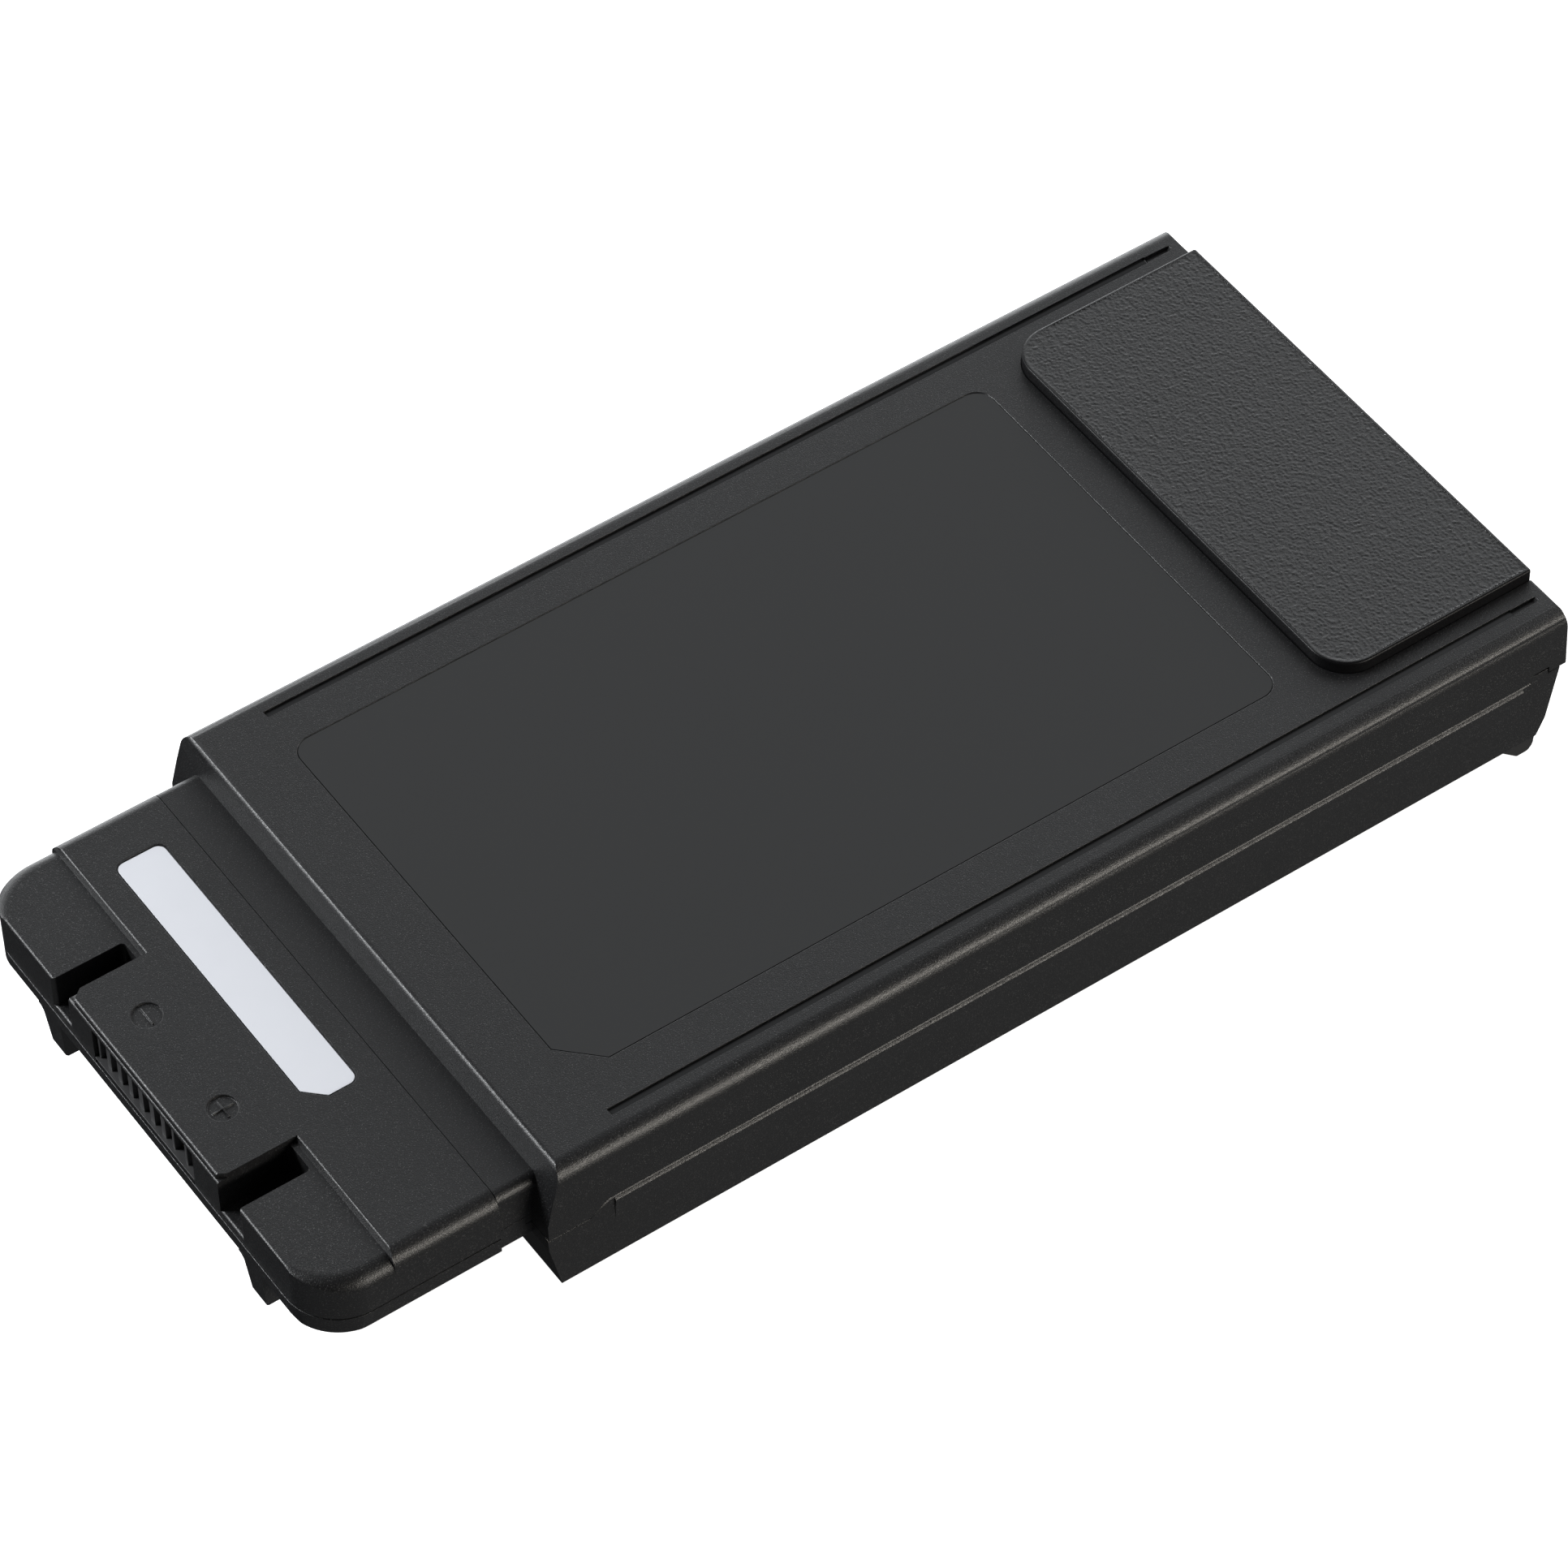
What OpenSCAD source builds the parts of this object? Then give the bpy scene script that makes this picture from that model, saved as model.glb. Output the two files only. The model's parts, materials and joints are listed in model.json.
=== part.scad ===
// Flat hard-case battery pack for a rugged portable computer, with pouch cells inside.
// +X runs from the connector head to the grip end, +Z is up, Z = 0 is the surface it rests on.
// The origin is the middle of the pack's outline on that surface. All sizes are in mm.

/* [Case] */
// overall length from the head's front to the grip end
total_len = 184.6; // [183:0.2:188]
// width over the upper cover
case_w = 85; // [84.6:0.2:86]
// height of the main body without feet and pad
body_h = 21.6; // [21.4:0.1:22.4]
// height of the feet under the body
foot_h = 2.5; // [2.2:0.1:2.8]
// length of the narrow connector head in front of the body's front edge
head_len = 32.4; // [32.4:0.1:32.8]
// wall thickness of the covers
wall = 1.4; // [1.3:0.05:1.5]
// radius of the long top edges
edge_r = 2.4; // [2.2:0.1:3.4]

/* [Top face] */
// height of the grip pad above the top face
pad_h = 1.8; // [1.2:0.1:2.4]
// length of the grip pad
pad_len = 30.9; // [26.1:0.2:31.9]
// corner radius of the grip pad
pad_r = 5.4; // [3:0.1:7]
// length of the large label
label_len = 105.6; // [95:0.2:108]
// depth of the two long grooves
groove_d = 0.35; // [0.2:0.05:0.5]
// width of the two long grooves
groove_w = 1.1; // [0.8:0.1:1.4]

/* [Connector head] */
// half width of the head
head_hw = 39.1; // [38.8:0.1:39.4]
// corner radius of the head's lobes seen from above
lobe_r = 7.6; // [5:0.1:9]
// how far the head's top lies below the main top face
head_drop = 3.6; // [3.4:0.1:3.8]
// how far the lobes lie below the head's top
lobe_drop = 0.85; // [0.5:0.05:1.1]
// pitch of the blade slots
slot_pitch = 2.5; // [2.4:0.05:2.55]
// number of blade slots
slot_n = 9; // [5:1:9]
// width of one blade slot
slot_w = 1.5; // [1.3:0.05:1.6]
// height of the guide lugs under the head
lug_h = 5.7; // [3:0.1:6.2]

/* [Cells] */
// thickness of one pouch cell
cell_t = 8.4; // [7:0.1:8.4]
// width of one pouch cell along the pack
cell_w = 43.4; // [40:0.2:43.6]
// length of a cell's body across the pack
cell_l = 70; // [64:0.5:70]

/* [Hidden] */
$fn = 64;
e = 0.01;
zt = foot_h + body_h;                 // main top face
zb = foot_h;                          // underside of the body
xf = -total_len / 2 + head_len;       // front edge of the main top face
xr = total_len / 2;                   // grip end
hw = case_w / 2;                      // half width at the part line
lhw = hw - 0.3;                       // half width of the lower cover
zs = zt - 9.7;                        // part line along the sides
zsf = zt - 11.45;                     // part line at the front corner
zc = zt - 10.1;                       // part line of the collar
zh = zt - 11.15;                      // part line of the head
ht = zt - head_drop;                  // top of the head
hb = zt - 13.7;                       // bottom of the head
lt = ht - lobe_drop;                  // top of the lobes
xh = -total_len / 2;                  // front of the head
xseam = xf - 6.8;                     // rear end of the head
xstep = xf - 21.2;                    // step down to the lobes
col_hw = head_hw - 0.4;               // half width of the collar
blk_hw = 17.1;                        // half width of the connector block
notch_n = 4.7;                        // near keying notch
notch_f = 3.7;                        // far keying notch
notch_z = zt - 9.85;                  // floor of the notches
head_wall = 1.2;
gap_h = 0.58;                         // height of the shadow gap at the part line
gap_d = 0.6;                          // its depth into the lower cover
head_edge = 2.3;                      // radius of the head's long top edges
step_edge = 0.35;                     // radius of the step's top edge
front_edge = 0.42;                    // radius of the front top edges
pad_x1 = xr - 0.6;                    // grip end of the pad
pad_x0 = pad_x1 - pad_len;
pad_hw = 35.1;
pad_seat = 0.5;                       // how deep the pad sits in the cover
lab_x0 = xf + 9.3;
lab_yn = -31.1;
lab_yf = 32.2;
gr_yn = 38.6;                         // outer edge of the near groove
gr_yf = 38.95;                        // outer edge of the far groove
gr_x1 = xr - 6.04;                    // grip end of the grooves
pocket_d = 0.5;
win_y0 = -11.25;                      // connector window
win_y1 = 11.75;
win_z1 = zt - 4.95;
ledge_z = zt - 10.15;                 // ledge under the ribs
rib_x = xh + 0.6;                     // front of the ribs
slot_y0 = 10.25;                      // first slot
wide_slot = 7;                        // this slot is wider, for the guide blade
wide_extra = 0.9;
foot_r = 3;
foot_x = xf + 10;
foot_y = 33;
heel_x = xr - 5.3;                    // lowest point of the rear feet
heel_r = 1.7;
heel_y0 = 36;
heel_y1 = 41.8;
seat_d = 0.8;                         // how deep the feet sit in the lower cover
lip = 0.12;                           // lower shell's lip under the head's front
board_t = 1.0;
board_z = zb + 9.6;                   // underside of the board
board_top = board_z + board_t;
cav_z0 = zb + wall;
cav_z1 = zt - wall;
sheet_t = 0.3;
foam_t = 1.0;
layer1 = cav_z0 + sheet_t;
layer2 = layer1 + cell_t + foam_t;
cell_x0 = xf + 11.3;
cell_pitch = cell_w + 1.3;
cell_y1 = 31.5;                       // terrace side of the cell body
cell_y0 = cell_y1 - cell_l;
strip_y = 35.2;
strip_w = 4.0;
strip_z = layer1 + cell_t + 0.1;
strip_t = 0.8;
tab_t = 0.2;

black = [0.10, 0.10, 0.11];
steel = [0.78, 0.79, 0.80];

// ---- helpers -------------------------------------------------------------

// extrude a shape drawn in Y,Z along X from x0 to x1
module along_x(x0, x1) {
    translate([x0, 0, 0]) rotate([90, 0, 90]) linear_extrude(x1 - x0) children();
}

// extrude a shape drawn in X,Z along Y from y0 to y1
module along_y(y0, y1) {
    translate([0, y1, 0]) rotate([90, 0, 0]) linear_extrude(y1 - y0) children();
}

module box(x0, x1, y0, y1, z0, z1) {
    translate([x0, y0, z0]) cube([x1 - x0, y1 - y0, z1 - z0]);
}

module rect(x0, x1, y0, y1) {
    translate([x0, y0]) square([x1 - x0, y1 - y0]);
}

// rectangle with the corner radii bottom and top; its sides lean in by draft towards the top
module section(half, z0, z1, rb, rt, draft = 0) {
    top = half - draft;
    polygon([[-half, z0 + rb], [half, z0 + rb], [top, z1 - rt], [-top, z1 - rt]]);
    rect(-half + rb, half - rb, z0, z0 + rb + e);
    rect(-top + rt, top - rt, z1 - rt - e, z1);
    for (s = [-1, 1]) {
        translate([s * (half - rb), z0 + rb]) circle(rb);
        translate([s * (top - rt), z1 - rt]) circle(rt);
    }
}

// plan of a panel: three round corners, one cut corner at low x and low y
module panel(x0, x1, y0, y1, r, c) {
    difference() {
        union() {
            rect(x0 + r, x1 - r, y0, y1);
            rect(x0, x1, y0 + r, y1 - r);
            rect(x0, x0 + 2 * r, y0, y0 + 2 * r);
            for (p = [[x0 + r, y1 - r], [x1 - r, y0 + r], [x1 - r, y1 - r]])
                translate(p) circle(r);
        }
        polygon([[x0 - 1, y0 - 1], [x0 + c, y0 - 1], [x0 + c, y0], [x0, y0 + c], [x0 - 1, y0 + c]]);
    }
}

// plan with square corners at high x and round corners at low x
module tongue_plan(x0, x1, half, r) {
    rect(x0 + r, x1, -half, half);
    rect(x0, x1, -half + r, half - r);
    for (s = [-1, 1]) translate([x0 + r, s * (half - r)]) circle(r);
}

// ---- case envelope -------------------------------------------------------

edge_f = 0.9;                         // radius of the front top edge
edge_b = 0.4;                         // radius of the far top edge
side_draft = 0.2;                     // lean of the upper cover's long sides

// side view of the main body with its leaning front and rear
module side_view() {
    polygon([
        [xf + 0.73 * edge_f, zt], [xf + 0.73 * edge_f, zt - edge_f],
        [xf - 0.22 * edge_f, zt - 0.7 * edge_f],
        [xf - 1.45, zt - 5], [xf - 2.4, zt - 8.8], [xf - 2.4, zsf], [xf - 2.3, zt - 13.8],
        [xf - 0.7, zb], [xr - 3.65, zb], [xr - 2.3, zt - 18.6],
        [xr - 0.6, zt - 9.45], [xr, zt - 9.4], [xr - 0.2, zt - 3],
        [xr - 0.5, zt - edge_b], [xr - 0.5 - edge_b, zt]]);
    translate([xf + 0.73 * edge_f, zt - edge_f]) circle(edge_f);
    translate([xr - 0.5 - edge_b, zt - edge_b]) circle(edge_b);
}

// part line from the collar to the grip end; gap shifts it up or down
function part_line(gap) = [
    [xf - 20, zc + gap], [xf - 3.2, zc + gap], [xf - 3.2, zsf + gap],
    [xf + 3.7, zsf + gap], [xf + 6.2, zs + gap],
    [xr - 5.35, zs + gap], [xr - 5.2, zs + 1.2 + gap], [xr - 2.8, zs + 1.2 + gap],
    [xr - 2.7, zs + 0.25 + gap], [xr + 5, zs + 0.25 + gap]];

// everything above the part line
module above(gap) along_y(-60, 60)
    polygon(concat(part_line(gap), [[xr + 5, zt + 5], [xf - 20, zt + 5]]));

// everything below it
module below(gap) along_y(-60, 60)
    polygon(concat(part_line(-gap), [[xr + 5, zb - 5], [xf - 20, zb - 5]]));

// inner space of the main body and the collar
module cavity() {
    intersection() {
        along_x(xf - 5, xr)
            section(hw - wall, cav_z0, cav_z1, 0.5, max(edge_r - wall, 0.5), side_draft);
        along_y(-50, 50) polygon([
            [xf + 1.5, cav_z1], [xf, zt - 5], [xf - 0.95, zt - 8.8],
            [xf - 0.9, zsf], [xf + 0.8, cav_z0], [xr - 5.1, cav_z0],
            [xr - 4.0, zt - 18.4], [xr - 2.2, zt - 9.4], [xr - 2.2, cav_z1]]);
    }
    box(xseam - 1, xf + 2, -col_hw + 1.4, col_hw - 1.4, hb + 1.3, ht - 1.5);
}

module upper_cover() color(black) difference() {
    union() {
        intersection() {
            union() {
                intersection() {
                    along_x(xf - 5, xr + 1) section(hw, zsf - 1, zt, 0.1, edge_r, side_draft);
                    along_y(-60, 60) side_view();
                }
                along_x(xseam, xf) section(col_hw, hb, ht - 0.1, 0.3, 1.5);
            }
            above(0.06);
        }
        // sleeve that centres the head
        for (s = [-1, 1]) box(xseam - 2, xseam + 2, min(s * 36.4, s * (col_hw - 1.1)),
            max(s * 36.4, s * (col_hw - 1.1)), zc + 1, ht - 1.3);
        box(xseam - 2, xseam + 2, -36.4, 36.4, ht - 2.2, ht - 1.3);
    }
    difference() {
        cavity();
        for (s = [-1, 1]) box(xseam - 2, xseam + 2, min(s * 36.4, s * col_hw),
            max(s * 36.4, s * col_hw), zc + 1, ht - 1.3);
        box(xseam - 2, xseam + 2, -36.4, 36.4, ht - 2.2, ht);
    }
    // label recess
    translate([0, 0, zt - 0.2]) linear_extrude(1)
        panel(lab_x0 - 0.1, lab_x0 + label_len + 0.1, lab_yn - 0.1, lab_yf + 0.1, 2.6, 5.0);
    // seat of the grip pad, open at the grip end
    translate([0, 0, zt - pad_seat]) linear_extrude(3) tongue_plan(pad_x0, xr + 1, pad_hw, pad_r);
    groove(-1, gr_yn);
    groove(1, gr_yf);
}

// long groove with a deeper pocket at the grip end; y is its outer edge, s its side
module groove(s, y) {
    translate([0, 0, zt - groove_d]) linear_extrude(1)
        rect(xf + 9.6, gr_x1, min(s * y, s * (y - groove_w)), max(s * y, s * (y - groove_w)));
    intersection() {
        translate([0, 0, zt - pocket_d]) linear_extrude(1.5) polygon([
            [gr_x1, s * (y - 0.1)], [gr_x1, s * (y - groove_w + 0.1)],
            [gr_x1 + 3.6, s * (y - groove_w + 0.1)], [gr_x1 + 4.1, s * (y - 0.85)],
            [gr_x1 + 4.0, s * (y - 0.25)], [gr_x1 + 3.6, s * (y - 0.15)]]);
        along_y(-50, 50) polygon([[gr_x1 - e, zt + 1], [gr_x1 - e, zt - pocket_d],
            [gr_x1 + 3.55, zt - pocket_d], [gr_x1 + 4.1, zt], [gr_x1 + 4.1, zt + 1]]);
    }
}

// wedge below the part line on both long sides of the lower cover
module side_wedge(s) {
    along_x(xf + 7.2, xr - 6.75) polygon([
        [s * (lhw - 0.5), zs - 0.75], [s * lhw, zs - 0.75], [s * hw, zs - 1.05],
        [s * lhw, zs - 5], [s * (lhw - 0.5), zs - 5]]);
}

module lower_cover() color(black) difference() {
    union() {
        intersection() {
            union() {
                intersection() {
                    along_x(xf - 5, xr + 1) section(lhw, zb, zt - 5, 0.4, 0.5);
                    along_y(-60, 60) side_view();
                }
                along_x(xseam, xf) section(col_hw, hb, ht - 1, 0.3, 0.5);
            }
            below(0.06);
        }
        for (s = [-1, 1]) side_wedge(s);
    }
    cavity();
    // shadow gap under the part line, outside only
    intersection() {
        above(-gap_h);
        for (s = [-1, 1]) box(xf - 4, xr + 1, min(s * (lhw - gap_d), s * (hw + 1)),
            max(s * (lhw - gap_d), s * (hw + 1)), zb, zt);
    }
    // recess for the rating label
    translate([xf + 25, -30, zb - 0.5]) cube([95, 60, 0.7]);
    // seats of the feet
    for (s = [-1, 1]) {
        translate([foot_x, s * foot_y, zb - e]) cylinder(h = seat_d + e, r = foot_r);
        heel_block(s, zb - e, zb + seat_d, xr - 2);
    }
}

// part of a rear foot that sits in the lower cover, open at the grip end; x1 is its upper end
module heel_block(s, z0, z1, x1)
    along_y(min(s * heel_y0, s * heel_y1), max(s * heel_y0, s * heel_y1))
        polygon([[xr - 9, z0], [xr - 3.5, z0], [x1, z1], [xr - 9, z1]]);

module front_feet() color([0.06, 0.06, 0.06]) for (s = [-1, 1])
    translate([foot_x, s * foot_y, 0]) cylinder(h = zb + seat_d, r = foot_r);

// long shallow slope in front, round heel behind
module rear_feet() color([0.09, 0.09, 0.10]) for (s = [-1, 1]) {
    heel_block(s, zb - e, zb + seat_d, xr - 3.3);
    intersection() {
        along_y(min(s * heel_y0, s * heel_y1), max(s * heel_y0, s * heel_y1)) {
            translate([heel_x, heel_r - 0.2]) circle(heel_r);
            polygon([[xr - 9, zb], [heel_x - 1.11, 0.21], [heel_x, heel_r - 0.2],
                [heel_x + heel_r, heel_r - 0.2], [xr - 3.5, zb]]);
        }
        box(xr - 12, xr, -hw, hw, 0, zb);
    }
}

// ---- top trim ------------------------------------------------------------

module grip_pad() color([0.13, 0.13, 0.14]) translate([0, 0, zt - pad_seat])
    linear_extrude(pad_h + pad_seat) tongue_plan(pad_x0 + 0.05, pad_x1, pad_hw - 0.05, pad_r);

module main_label() color([0.16, 0.17, 0.17]) translate([0, 0, zt - 0.2])
    linear_extrude(0.15) panel(lab_x0, lab_x0 + label_len, lab_yn, lab_yf, 2.6, 4.95);

module serial_label() color([0.86, 0.87, 0.91]) translate([0, 0, ht - 0.25])
    linear_extrude(0.12) panel(xf - 17.2, xf - 10.5, -14.1, 31.0, 1.2, 2.5);

module rating_label() color([0.75, 0.76, 0.78])
    translate([xf + 25.1, -29.9, zb + 0.05]) cube([94.8, 59.8, 0.15]);

// ---- connector head ------------------------------------------------------

// side view of the head above its part line; the front leans in by lean and is rounded by r
module upper_side(x1, z1, lean, r) {
    polygon([[xh + lean + r, z1], [xh + lean, z1 - r], [xh + lip, zh], [x1, zh], [x1, z1]]);
    translate([xh + lean + r, z1 - r]) circle(r);
}

// side view below the part line
module lower_side(x1, z1)
    polygon([[xh, z1], [xh, zh - 0.3], [xh + 0.05, hb + 0.5], [xh + 0.45, hb], [x1, hb], [x1, z1]]);

// round plan corner whose top edge also runs round; the front keeps a small edge
module lobe_mask() {
    r = lobe_r + 1.8;
    box(xh + lobe_r, xseam, -head_hw, head_hw, hb - 1, lt);
    box(xh - 2, xseam, -head_hw + r, head_hw - r, hb - 1, lt);
    for (s = [-1, 1]) translate([xh + lobe_r, s * (head_hw - r), 0]) rotate_extrude($fn = 96) {
        rect(0, r, hb - 1, lt - head_edge);
        rect(0, r - head_edge, lt - head_edge - e, lt);
        translate([r - head_edge, lt - head_edge]) circle(head_edge);
    }
}

module head_upper_solid() {
    // full height part behind the step
    intersection() {
        along_x(xh, xseam - 0.1) section(head_hw, hb, ht, 0.3, head_edge);
        along_y(-60, 60) {
            polygon([[xstep + step_edge, ht], [xstep, ht - step_edge], [xstep - 0.3, lt],
                [xstep - 0.3, zh], [xseam - 0.1, zh], [xseam - 0.1, ht]]);
            translate([xstep + step_edge, ht - step_edge]) circle(step_edge);
        }
    }
    // lobes
    intersection() {
        along_x(xh, xseam - 0.1) section(head_hw, hb, lt, 0.3, head_edge);
        along_y(-60, 60) upper_side(xstep + 1, lt, lip, front_edge);
        translate([0, 0, hb - 1]) linear_extrude(30) tongue_plan(xh, xseam, head_hw, lobe_r);
        lobe_mask();
    }
    // block with the blade slots; its front corners are cut
    intersection() {
        translate([0, 0, hb]) linear_extrude(ht - hb) polygon([
            [xh - 1, -blk_hw + 0.95 + 0.6], [xh - 1, blk_hw - 1.5 - 0.8], [xh, blk_hw - 1.5],
            [xh + 1.9, blk_hw], [xstep + 1, blk_hw], [xstep + 1, -blk_hw],
            [xh + 1.6, -blk_hw], [xh, -blk_hw + 0.95]]);
        along_y(-60, 60) upper_side(xstep + 1, ht, 0.35, front_edge);
    }
}

module head_lower_solid() intersection() {
    along_x(xh, xseam - 0.1) section(head_hw, hb, lt, 0.3, head_edge);
    along_y(-60, 60) lower_side(xseam, zh + 1);
    translate([0, 0, hb - 1]) linear_extrude(30) tongue_plan(xh, xseam, head_hw, lobe_r);
}

// keying notches beside the block, widened by g; round at the end, flared at the mouth
module notches(g) {
    for (k = [[1, notch_f], [-1, notch_n]]) {
        y0 = blk_hw - g;
        y1 = blk_hw + k[1] + g;
        x1 = xstep - 1.0 + g;
        translate([0, 0, notch_z - g]) linear_extrude(zt - notch_z + g) scale_y(k[0]) {
            rect(xh - 2, x1 - notch_r, y0, y1);
            rect(xh - 2, x1, y0 + e, y1 - notch_r);
            translate([x1 - notch_r, y1 - notch_r]) circle(notch_r);
            difference() {
                rect(xh - 2, xh + lip + notch_r, y1 - e, y1 + notch_r);
                translate([xh + lip + notch_r, y1 + notch_r]) circle(notch_r);
            }
        }
    }
}

notch_r = 0.6;                        // plan radius at the notches' corners

// keeps a plan drawn on the +Y side, or mirrors it to the -Y side
module scale_y(s) {
    if (s > 0) children();
    else mirror([0, 1, 0]) children();
}

// rounds the front lip of the notch floors
module notch_lips() {
    r = 0.4;
    for (y = [[blk_hw, blk_hw + notch_f + notch_r], [-blk_hw - notch_n - notch_r, -blk_hw]])
        along_y(y[0], y[1]) difference() {
            rect(xh - 2, xh + lip + r, notch_z - r, notch_z + e);
            translate([xh + lip + r, notch_z - r]) circle(r);
        }
}

module head_space() {
    difference() {
        intersection() {
            translate([0, 0, hb + head_wall]) linear_extrude(lt - hb - 2 * head_wall)
                tongue_plan(xh + 1.5, xseam + 1, head_hw - head_wall, lobe_r - head_wall);
            along_x(xh, xseam + 1) section(head_hw - head_wall, hb + 0.5, lt - head_wall, 0.2, 1.2);
        }
        notches(head_wall);
    }
    // higher room behind the step and inside the block
    box(xstep + 1, xseam + 1, -head_hw + 3.5, head_hw - 3.5, zh, ht - head_wall);
    box(xh + 1.5, xstep + 2, -blk_hw + 1.3, blk_hw - 1.3, zh, ht - head_wall);
}

module polarity(y, plus) {
    translate([xf - 26.1, y, ht - 0.3]) difference() {
        cylinder(h = 1, r = 1.95, $fn = 48);
        translate([-0.13, -1.45, -1]) cube([0.26, 2.9, 1.25]);
        if (plus) translate([-1.45, -0.13, -1]) cube([2.9, 0.26, 1.25]);
    }
}

module head_upper() color(black) difference() {
    intersection() {
        head_upper_solid();
        box(xh - 2, xseam, -50, 50, zh + 0.06, zt);
    }
    head_space();
    notches(0);
    notch_lips();
    // window in front of the slots, open down to the part line
    box(xh - 2, xh + 3, win_y0, win_y1, zh - 1, win_z1);
    // recess of the blank serial label
    translate([0, 0, ht - 0.25]) linear_extrude(1)
        panel(xf - 17.4, xf - 10.3, -14.3, 31.2, 1.4, 2.6);
    polarity(8.8, false);
    polarity(-8.5, true);
}

// guide lug under the head's front: y is its -Y side, the other side leans and has a root fillet
module guide_lug(y) intersection() {
    along_x(xh - 1, xh + 6) {
        polygon([[y, hb + 0.5], [y, hb - lug_h], [y + 3.2, hb - lug_h], [y + 4.1, hb - 1],
            [y + 4.1, hb + 0.5]]);
        difference() {
            rect(y + 4, y + 5.2, hb - 1.2, hb + 0.3);
            translate([y + 5.25, hb - 1.2]) circle(1.2);
        }
    }
    along_y(y - 1, y + 7) polygon([
        [xh + 0.05, hb + 0.5], [xh + 0.3, hb - lug_h + 0.3], [xh + 0.6, hb - lug_h],
        [xh + 4.6, hb - lug_h], [xh + 5.4, hb + 0.5]]);
}

module head_lower() color(black) difference() {
    union() {
        intersection() {
            head_lower_solid();
            box(xh - 2, xseam, -50, 50, hb - 1, zh - 0.06);
        }
        guide_lug(blk_hw + notch_f - 0.4);
        guide_lug(-blk_hw - notch_n - 4.1);
        // board posts
        for (y = [-30, 30]) translate([xf - 13, y, hb + 1]) cylinder(h = board_z - hb - 1, r = 2.2);
    }
    difference() {
        head_space();
        for (y = [-30, 30]) translate([xf - 13, y, hb + 1]) cylinder(h = board_z - hb - 1, r = 2.2);
    }
    for (y = [-30, 30]) translate([xf - 13, y, hb + 0.6]) cylinder(h = 4, r = 0.85, $fn = 32);
}

function slot_y(i) = slot_y0 - i * slot_pitch;
function slot_half(i) = (slot_w + (i == wide_slot ? wide_extra : 0)) / 2;

// slotted insulator behind the window; its ribs stand on a ledge and lean back at the top
module contact_insulator() color([0.14, 0.14, 0.15]) difference() {
    union() {
        box(xh + 1.55, xh + 9.6, win_y0 - 1.2, win_y1 + 1.2, hb + head_wall, ht - head_wall - 0.1);
        box(xh + lip, xh + 2, win_y0 + 0.06, win_y1 - 0.06, ledge_z - 0.25, ledge_z);
        along_y(win_y0 + 0.06, win_y1 - 0.15) polygon([
            [rib_x, ledge_z - 0.1], [rib_x, zt - 6.05], [rib_x + 1.05, win_z1 - 0.06],
            [xh + 2, win_z1 - 0.06], [xh + 2, ledge_z - 0.1]]);
    }
    for (i = [0 : slot_n - 1]) {
        box(xh + 0.2, xh + 8.2, slot_y(i) - slot_half(i), slot_y(i) + slot_half(i),
            ledge_z, win_z1 + 0.5);
        // way out for the spring's tail
        box(xh + 8.1, xh + 10, slot_y(i) - 0.3, slot_y(i) + 0.3, spring_z + 0.7, spring_z + 1.2);
    }
}

spring_z = ledge_z + 0.65;            // lower edge of the springs

// one forked spring in each slot, its tail on the board
module contact_springs() color([0.85, 0.70, 0.35]) for (i = [0 : slot_n - 1])
    translate([0, slot_y(i), 0]) {
        w = slot_w / 2;
        for (s = [-1, 1]) along_x(xh + 3.0, xh + 8.1)
            translate([s * (w - 0.13) - 0.1, spring_z]) square([0.2, 3.0]);
        box(xh + 7.7, xh + 8.1, -w + 0.03, w - 0.03, spring_z, spring_z + 3.0);
        box(xh + 8.0, xh + 11.0, -0.3, 0.3, spring_z + 0.7, spring_z + 1.2);
        box(xh + 10.6, xh + 11.0, -0.3, 0.3, board_top + 0.02, spring_z + 1.2);
    }

// ---- protection board ----------------------------------------------------

module main_board() color([0.05, 0.30, 0.16]) difference() {
    union() {
        box(xf - 18.5, xf + 8.5, -35.5, 35.5, board_z, board_top);
        box(xh + 10.0, xf - 18, -15.2, 15.2, board_z, board_top);
    }
    for (y = [-30, 30]) translate([xf - 13, y, board_z - 1]) cylinder(h = 4, r = 1.0, $fn = 32);
}

module board_screws() color(steel) for (y = [-30, 30]) translate([xf - 13, y, board_top])
    difference() {
        union() {
            translate([0, 0, -2.6]) cylinder(h = 2.7, r = 0.8, $fn = 32);
            cylinder(h = 1.1, r = 1.7, $fn = 48);
        }
        translate([-1.1, -0.18, 0.5]) cube([2.2, 0.36, 1]);
        translate([-0.18, -1.1, 0.5]) cube([0.36, 2.2, 1]);
    }

// chip body, clear of the board by its leads
module chip(x, y, l, w, h)
    translate([x - l / 2, y - w / 2, board_top + 0.1]) cube([l, w, h]);

module chip_leads(x, y, l, w, n) {
    for (i = [0 : n - 1]) for (s = [-1, 1])
        translate([x - l / 2 + (i + 0.5) * l / n, y + s * (w / 2 + 0.4), board_top + 0.15])
            cube([l / n * 0.45, 0.8, 0.3], center = true);
}

module gauge_ics() color([0.07, 0.07, 0.08]) {
    chip(xf - 9.5, 4, 7.8, 4.4, 1.1);
    chip(xf - 9.5, -9, 5.0, 4.4, 1.1);
    chip(xf - 1, 17, 4.0, 4.0, 0.9);
}

module ic_leads() color(steel) {
    chip_leads(xf - 9.5, 4, 7.8, 4.4, 12);
    chip_leads(xf - 9.5, -9, 5.0, 4.4, 8);
    chip_leads(xf - 1, 17, 4.0, 4.0, 6);
}

module power_switches() color([0.09, 0.09, 0.10]) for (y = [-24, -17]) {
    chip(xf - 2, y, 5.0, 5.8, 1.0);
}

module thermal_fuse() color([0.72, 0.70, 0.62]) translate([xf - 3.5, 26, board_top])
    cube([5.2, 3.4, 1.6]);

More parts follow.
